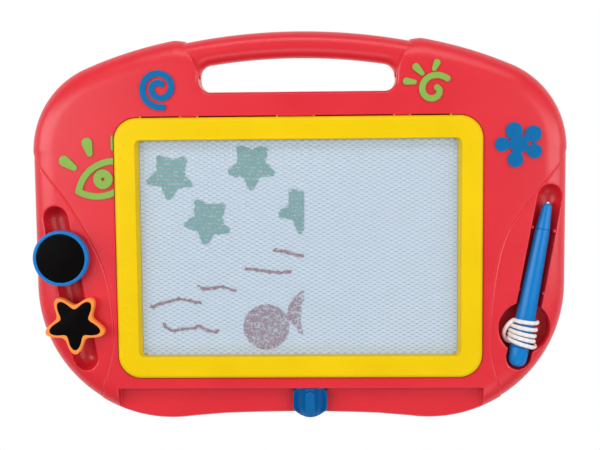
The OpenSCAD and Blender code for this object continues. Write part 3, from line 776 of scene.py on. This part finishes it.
# ---------------------------------------------------------------- screen
def screen_frame():
    """Frame swept between its outer and inner loops: outer edge 3.6 round, inner edge 0.9 round
    running down a slightly leaning wall to the screen."""
    outer, inner = round_rect(282, 202, 18, 14), round_rect(248.6, 167.4, 4.2, 14)
    rings = [flat(outer, 20.2), flat(outer, 22)]
    for a in np.radians(np.arange(0, 91, 11.25)):
        rings.append(flat(inset(outer, -3.6 * (1 - math.cos(a))), FRAME_TOP - 3.6 + 3.6 * math.sin(a)))
    rings += [flat(inset(outer, -5.4), FRAME_TOP), flat(inset(inner, 1.6), FRAME_TOP)]
    for a in np.radians(np.arange(0, 91, 18)):
        rings.append(flat(inset(inner, 0.9 - 0.9 * math.sin(a)), FRAME_TOP - 0.9 + 0.9 * math.cos(a)))
    foot = round_rect(244.8, 166.8, 3.2, 14)
    rings += [flat(foot + (inset(inner, -0.2) - foot) * 0.5, 25), flat(foot, 22.3), flat(foot, 21.9)]
    return skin(rings, caps=(False, False))


def dome(x, y, z, r, h, n=20):
    """Low round swelling h high on a flat face."""
    rings = [(r * math.cos(a), h * math.sin(a)) for a in np.radians([0, 25, 50, 70, 85])]
    v, f = lathe(rings, n)
    return v + [x, y, z], f


swellings = [dome(x, y, FRAME_TOP - 0.03, r, 0.22) for x, y, r in (
    (-132.6, 9.4, 1.1), (-133.4, -6.2, 0.9), (-132.2, -38.4, 1.5), (-133.6, -44.3, 1.2), (-132.4, -50.2, 1.6),
    (-133.1, -57, 1.1), (-131.8, -63.6, 1.3), (-132.9, 18, 0.8), (-77.4, 92.8, 1.2), (-133.4, -83, 1.0))]
TAB = np.array([[-0.45, -1], [0.45, -1], [0.45, 0.75], [-0.45, 0.75]])
tabs = [plate(TAB + [x + s * (w / 2 - 0.6), 101.2], 22, 25.9, 0.2, 2) for x, w in LATCHES for s in (-1, 1)]
surround = joined(screen_frame(), *swellings, *tabs)
weighted(build("screen_frame_skin", *surround, YELLOW, "case", ["screen_frame"]))


def slab(x, y, z0, z1):
    """A sheet of half width x and half height y."""
    return plate(round_rect(2 * x, 2 * y, 2.0, 4), z0, z1, 0.05, 1)


build("back_film_skin", *slab(138, 93, 20.0, 20.2), WHITE_FILM, "case", ["back_film"])
build("front_film_skin", *slab(138, 93, 21.78, 21.95), FILM, "case", ["front_film"])
build("cell_floor", *slab(137.5, 92.5, 20.22, 20.6), FLOOR_OF_CELLS, "case", ["honeycomb_core"])

CELL_X, CELL_Y = 3.25, 3.42


def cell_walls():
    """Flat-topped hexagons, columns 3.25 apart and rows 3.42: three wall strips per cell, each
    with a top and two sides. Also the darkness of each vertex, more for level walls."""
    i, j = np.meshgrid(np.arange(-39, 40), np.arange(-25, 26))
    x, y = i.ravel() * CELL_X, (j.ravel() + 0.5 * (i.ravel() % 2)) * CELL_Y
    ok = (np.abs(x) < 126) & (np.abs(y) < 85.5)
    x, y = x[ok], y[ok]
    w, h = CELL_X / 3, CELL_Y / 2
    verts, faces, dark = [], [], []
    for a, b, shade in (((-w, h), (w, h), 1.0), ((w, h), (2 * w, 0), 0.25), ((2 * w, 0), (w, -h), 0.25)):
        d = np.subtract(b, a)
        side = 0.2 * np.array([-d[1], d[0]]) / np.linalg.norm(d)
        corners = np.array([a - side, b - side, b + side, a + side])
        n0 = sum(len(v) for v in verts)
        base = np.stack([x, y], 1)[:, None] + corners[None]
        block = np.concatenate([np.dstack([base, np.full(base.shape[:2], 20.55)]),
                                np.dstack([base, np.full(base.shape[:2], 21.6)])], 1)
        verts.append(block.reshape(-1, 3))
        k = n0 + 8 * np.arange(len(x))[:, None]
        for q in ([4, 5, 6, 7], [0, 1, 5, 4], [2, 3, 7, 6]):
            faces += (k + q).tolist()
        dark.append(np.full(8 * len(x), shade))
    return np.concatenate(verts), faces, np.concatenate(dark)


v, f, dark = cell_walls()
walls = build("cell_walls", v, f, CELL_WALL, "case", ["honeycomb_core"], smooth=20)
walls.data.attributes.new("dark", "FLOAT", "POINT").data.foreach_set("value", dark.astype(np.float32))


# ---------------------------------------------------------------- marks drawn on the screen
RAND = np.random.default_rng(7)


def ragged(loop, step, amount):
    """A loop resampled and roughened, as the edge of hatched strokes is."""
    p = even(np.asarray(loop, float), step)
    n = RAND.normal(0, amount, len(p))
    n = 0.5 * n + 0.25 * (np.roll(n, 1) + np.roll(n, -1))
    return p + n[:, None] * (inset(p, 1) - p)


def filled(loop, z, cut_x=None):
    """Flat shape inside a loop, cut off to the right of cut_x."""
    pts = [Vector(q) for q in loop]
    edges = [(i, (i + 1) % len(pts)) for i in range(len(pts))]
    v, _, f, *_ = delaunay_2d_cdt(pts, edges, [], 1, 1e-3)
    v = np.array([tuple(q) for q in v])
    if cut_x is not None:
        v[:, 0] = np.minimum(v[:, 0], cut_x)
    return flat(v, z), f


def five_star(x, y, size, valley, turn):
    """Star with blunt tips at size and valleys at valley, one of them fuller."""
    k = np.arange(10)[:, None]
    blunt = np.where(k % 2 == 0, 5.5, 0) * np.array([[-1, 1]])
    a = np.radians(k * 36 + blunt + turn - 90).ravel()
    r = np.repeat(np.where(k.ravel() % 2 == 0, size, np.where(k.ravel() == 5, valley + 1.9, valley)), 2)
    return np.stack([x + r * np.cos(a), y + r * np.sin(a)], 1)[[i for i in range(20) if i % 4 != 3]]


STARS = [(-98.6, 56, -5, None), (-35.6, 63.4, -2, None), (-70.1, 21, -8, None), (2.9, 29.4, -7, 4.4)]
for k, (x, y, turn, cut) in enumerate(STARS):
    shape = ragged(five_star(x, y, 18.4, 11.2, turn), 1.1, 0.6)
    build(f"star_mark_{k}", *filled(shape, MARK_Z, cut), TEAL, "case", ["honeycomb_core"])

fish_body = ragged(arc([-25.8, -61.8], 18.0, 0, 360, 60)[:-1], 1.3, 0.35)
fish_tail = ragged([(-9.4, -52), (-8.6, -46), (-5, -40.4), (0.4, -35), (3.6, -32.8), (3.6, -41), (1.4, -44.6),
                    (1.8, -50), (0.9, -56), (1.9, -62), (2.8, -68), (-0.6, -66), (-3.4, -61.5), (-6.6, -58.6),
                    (-9.4, -56.5)], 1.2, 0.3)
fish = joined(filled(fish_body, MARK_Z), filled(fish_tail, MARK_Z + 0.01))
build("fish_mark", *fish, MAUVE, "case", ["honeycomb_core"])

WAVES = [
    [(-116.4, -44.8), (-114.1, -45.6), (-109.3, -43.3), (-101.5, -41.7), (-94.4, -39.4), (-88.9, -40.2),
     (-81.2, -41.8), (-75.7, -42.6)],
    [(-104.9, -58.3), (-105, -61.4), (-98.8, -64.6), (-94.9, -63.8), (-89.4, -63.1), (-81.5, -62.3),
     (-79.2, -60.7), (-72.2, -63.9), (-66, -65.9), (-62.8, -63.6)],
    [(-79.4, -29.3), (-76.3, -30.9), (-72.4, -31.7), (-66.2, -30.9), (-59.1, -30.2), (-52.2, -32.6),
     (-49.1, -33.4)],
    [(-41.8, -16.6), (-35.6, -16.2), (-27.1, -17.8), (-15.5, -19.1), (-5.4, -18)],
    [(-19.9, -1.5), (-9.9, -3.1), (-2.2, -5.5), (3.2, -5.9)]]
ribbons = []
for line in WAVES:
    p = plane_line(line, 0.9)
    p = p + RAND.normal(0, 0.22, p.shape)
    side = normals(p) * (1.1 + RAND.uniform(-0.4, 0.4, len(p)))[:, None]
    ribbons.append(skin([flat(p - side, MARK_Z), flat(p + side, MARK_Z)], closed=False, caps=(False, False)))
build("wave_marks", *joined(*ribbons), MAROON, "case", ["honeycomb_core"])


# ---------------------------------------------------------------- eraser knob
KNOB_X = 7.8


def knob():
    """Height field over the knob's plan, whose front edge is y = -126.3 - 6.9 (1 - u^2)^0.8:
    25.6 high, with a valley 4.4 deep either side of the middle, falling off round its edges."""
    half, back = 13.2, -110.0
    u, w = np.sin(np.linspace(-1, 1, 65) * math.pi / 2), np.linspace(0, 1, 33)
    x = half * u
    front_y = -126.3 - 6.9 * np.clip(1 - u * u, 0, 1) ** 0.8
    a = np.abs(x)
    back_y = back - 4 * (1 - np.sqrt(1 - np.clip((a - 9.2) / 4, 0, 1) ** 2))
    scoop = 4.4 * np.sin(np.clip((a - 3.4) / 9.4, 0, 1) * math.pi) ** 0.8
    side = np.clip((half - a) / 1.4, 0, 1)
    rings = []
    for t in w:
        y = back_y + (front_y - back_y) * t
        edge = np.clip(np.minimum(y - front_y, 1.4 + back_y - y) / 2.8, 0, 1)
        z = 25.6 - scoop * np.clip((y - front_y) / 5 + 0.25, 0, 1)
        z = z - 2.4 * (1 - np.sqrt(1 - (1 - edge) ** 2)) - 1.2 * (1 - np.sqrt(1 - (1 - side) ** 2))
        top = np.column_stack([KNOB_X + x, y, z])
        rings.append(np.concatenate([top, top[::-1] * [1, 1, 0] + [0, 0, LEDGE_Z + 0.4]]))
    verts, faces = skin(rings)
    return verts, [q[::-1] for q in faces]


def rib():
    """The upright grip along the knob's middle."""
    loop = np.concatenate([arc([KNOB_X, -128.0], 3.8, 180, 360, 14), arc([KNOB_X, -115.6], 3.8, 0, 180, 14)])
    return plate(loop, 18.2, 28.7, 1.1)


def block(depth, y, z0, z1):
    """Part of the knob's neck or foot, 12 wide."""
    return skin([flat(round_rect(12, depth, 0.4, 2) + [KNOB_X, y], z) for z in (z0, z1)])


weighted(build("knob_skin", *joined(knob(), rib()), BLUE_KNOB, "eraser", ["slider_knob"]))
build("knob_neck", *block(6, -109.4, 18.6, 21.8), BLUE_KNOB, "eraser", ["slider_knob"])
foot = joined(block(13, -100.4, 9.8, 11.8), block(3, -105.3, 9.8, 21.8))
build("knob_foot", *foot, BLUE_KNOB, "eraser", ["slider_knob"])


# ---------------------------------------------------------------- pen
def turned(profile, name, material, nodes, r):
    """A lathe about the pen's axis; its profile is (radius, distance along the pen)."""
    v, f = lathe(rounded(profile, r), 64)
    p = np.append(WELL, PEN_Z) + v[:, 2:] * np.append(PEN_UP, 0) + v[:, :1] * np.append(PEN_OUT, 0)
    p[:, 2] -= v[:, 1]
    build(name, p, f, material, "pen", nodes)


turned([(0.4, -31.2), (3.6, -30.9), (6.2, -29), (7.3, -26), (7.5, -22), (7.5, -15.75), (7.0, -15.6),
        (5.4, -15.6), (5.4, -9)], "pen_butt", BLUE_PEN, ["pen_end_plug"], 0.8)
turned([(5.6, -15.5), (7.1, -15.5), (7.5, -15.1), (7.5, 8.4), (7.35, 20), (5.6, 77.1), (5.3, 77.4),
        (4.2, 77.4)], "pen_barrel_skin", BLUE_PEN, ["pen_barrel"], 0.5)
turned([(3.8, 72), (3.8, 77.3), (5.2, 77.5), (5.45, 77.8), (3.5, 95.6), (2.4, 97.4), (1.6, 97.5)],
       "pen_nose_skin", BLUE_PEN, ["pen_nose"], 0.4)
turned([(0.2, 90), (1.5, 90), (1.5, 98.3), (1.2, 98.7), (0.3, 98.8)], "pen_tip", NICKEL, ["pen_magnet"], 0.3)


# ---------------------------------------------------------------- stamps
def along_channel(y):
    """The point of the stamp channel's centre line that is level with y."""
    a, b = SLOTS[1]
    return a + (b - a) * (y - a[1]) / (b[1] - a[1])


def star_loop(tip, valley, soft=0.45):
    """r = (tip + valley) / 2 - soft + (tip - valley) / 2 cos 5t + soft cos 10t."""
    t = np.radians(np.arange(0, 360, 2.4))
    r = (tip + valley) / 2 - soft + (tip - valley) / 2 * np.cos(5 * t) + soft * np.cos(10 * t)
    return np.stack([r * np.sin(t), -r * np.cos(t)], 1)


def cup(outer, inner, c):
    """Shallow cup: rounded rim between two loops, 7 high, with a floor 1.6 below the rim."""
    rings = [flat(inset(outer, -0.8), 28.4), flat(outer, 29.2)]
    for a in np.radians(np.arange(0, 91, 18)):
        rings.append(flat(inset(outer, -1.1 * (1 - math.cos(a))), 34.3 + 1.1 * math.sin(a)))
    for a in np.radians(np.arange(0, 91, 22.5)):
        rings.append(flat(inset(inner, 0.6 * (1 - math.sin(a))), 34.8 + 0.6 * math.cos(a)))
    rings.append(flat(inner, 33.8))
    v, f = skin(rings)
    return v + [*c, 0], f


def grip(c):
    """The stamp's knob, which sits in the channel."""
    profile = [(0.3, 12.4), (2, 12.6), (4.4, 13.9), (6, 15.6), (7.2, 17.6), (7.6, 19.4), (7.2, 22), (6.4, 26),
               (6.4, 29.4)]
    v, f = lathe(rounded(profile, 1.0), 40)
    return v + [*c, 0], f


for name, y, outer, inner, paint in (
        ("round", -5.7, arc([0, 0], 21.4, 0, 360, 96)[:-1], arc([0, 0], 18.75, 0, 360, 96)[:-1], BLUE_STAMP),
        ("star", -56.4, star_loop(23.9, 14.7), star_loop(20.55, 11.35), ORANGE)):
    c, stamp = along_channel(y), f"{name}_stamp"
    weighted(build(f"{name}_cup", *joined(cup(outer, inner, c), grip(c)), paint, stamp, [f"{stamp}_body"]))
    v, f = plate(inset(inner, -0.06), 33.8, 35.15, 0.25, 3)
    build(f"{name}_sheet", v + [*c, 0], f, SHEET, stamp, [f"{stamp}_magnet"])


# ---------------------------------------------------------------- stage and light
def stage_floor():
    """A lit white sheet 12 m wide, 0.2 mm below the table's level."""
    data = bpy.data.meshes.new("floor")
    s, z = 6.0, -0.0002
    data.from_pydata([(-s, -s, z), (s, -s, z), (s, s, z), (-s, s, z)], [], [(0, 1, 2, 3)])
    m = Mat("floor_white")
    e = m.node("Emission", {"Color": (1, 1, 1, 1), "Strength": 1.0})
    m.node("OutputMaterial", {"Surface": e})
    data.materials.append(m.data)
    obj = bpy.data.objects.new("floor", data)
    bpy.context.scene.collection.objects.link(obj)
    return obj


def lamp(name, at, size, power):
    """A white area lamp, sizes in metres and power in watts, aimed at the board's middle."""
    data = bpy.data.lights.new(name, "AREA")
    data.shape = "RECTANGLE"
    data.size, data.size_y = size
    data.energy = power
    obj = bpy.data.objects.new(name, data)
    obj.location = at
    obj.rotation_euler = (-Vector(at)).to_track_quat("-Z", "Y").to_euler()
    bpy.context.scene.collection.objects.link(obj)
    return obj


lamps = [
    lamp("left", (-1.05, 0.2, 0.95), (0.6, 1.4), 12.4),
    lamp("right", (1.1, 0.1, 0.9), (0.5, 1.4), 9),
    lamp("top", (0.1, 1.2, 1.0), (1.4, 0.5), 8),
    lamp("near", (0.2, -1.1, 1.1), (1.2, 0.5), 4.6),
]
world = bpy.data.worlds.new("studio")
bpy.context.scene.world = world
world.use_nodes = True
sky = world.node_tree.nodes["Background"].inputs
sky["Color"].default_value = (1, 1, 1, 1)
sky["Strength"].default_value = 0.22
stage_floor()
